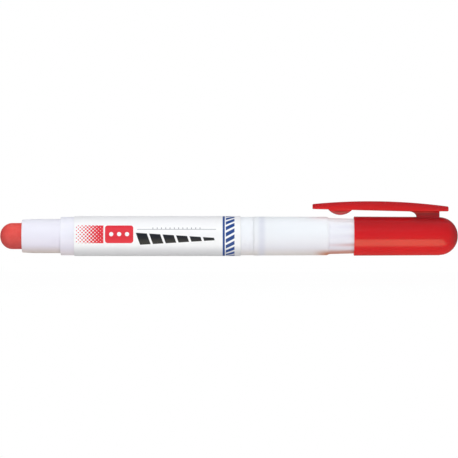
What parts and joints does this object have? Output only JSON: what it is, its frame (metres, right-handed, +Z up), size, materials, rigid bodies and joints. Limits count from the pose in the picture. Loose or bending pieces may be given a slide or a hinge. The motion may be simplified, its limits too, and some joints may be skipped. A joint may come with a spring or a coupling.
{
  "type": "solid paint marker",
  "caption": "Twist-up solid paint marker: a wax paint stick in a stepped barrel with a printed sleeve, a fluted twist knob and a clip cap that posts on the tail.",
  "frame": {"origin": "below the middle of the marker's length, at the lowest point of the label sleeve", "axes": "+X along the marker from the paint tip to the cap's dome, +Z up towards the pocket clip"},
  "size_m": [0.1396, 0.0122, 0.0167],
  "materials": {
    "white_plastic": "satin, faintly translucent",
    "label_film": "satin printed film",
    "paint_wax": "waxy",
    "natural_plastic": "satin",
    "red_plastic": "gloss",
    "liner_plastic": "satin"
  },
  "bodies": {
    "barrel": {"barrel": "white_plastic", "label": "label_film"},
    "carriage": {"stick_carrier": "natural_plastic", "paint_stick": "paint_wax"},
    "knob": {"twist_knob": "white_plastic", "drive_screw": "natural_plastic"},
    "cap": {"cap": "red_plastic", "cap_liner": "liner_plastic"},
    "clip": {"clip_arm": "red_plastic"}
  },
  "joints": [
    {"name": "knob_twist", "type": "hinge", "parent": "barrel", "child": "knob", "pos_m": [0.0075, 0, 0.00609], "axis": [-1, 0, 0], "range_deg": [-900, 4500]},
    {"name": "stick_feed", "type": "slide", "parent": "barrel", "child": "carriage", "axis": [-1, 0, 0], "range_m": [-0.0075, 0.0375]},
    {"name": "cap_pull", "type": "slide", "parent": "knob", "child": "cap", "axis": [1, 0, 0], "range_m": [0, 0.03]},
    {"name": "clip_flex", "type": "hinge", "parent": "cap", "child": "clip", "pos_m": [0.05455, 0, 0.01632], "axis": [0, 1, 0], "range_deg": [0, 5], "stiffness_Nm_per_rad": 0.6}
  ],
  "couplings": [
    {"joint": "knob_twist", "follows": "stick_feed", "rad_per_m": 2094.4}
  ]
}
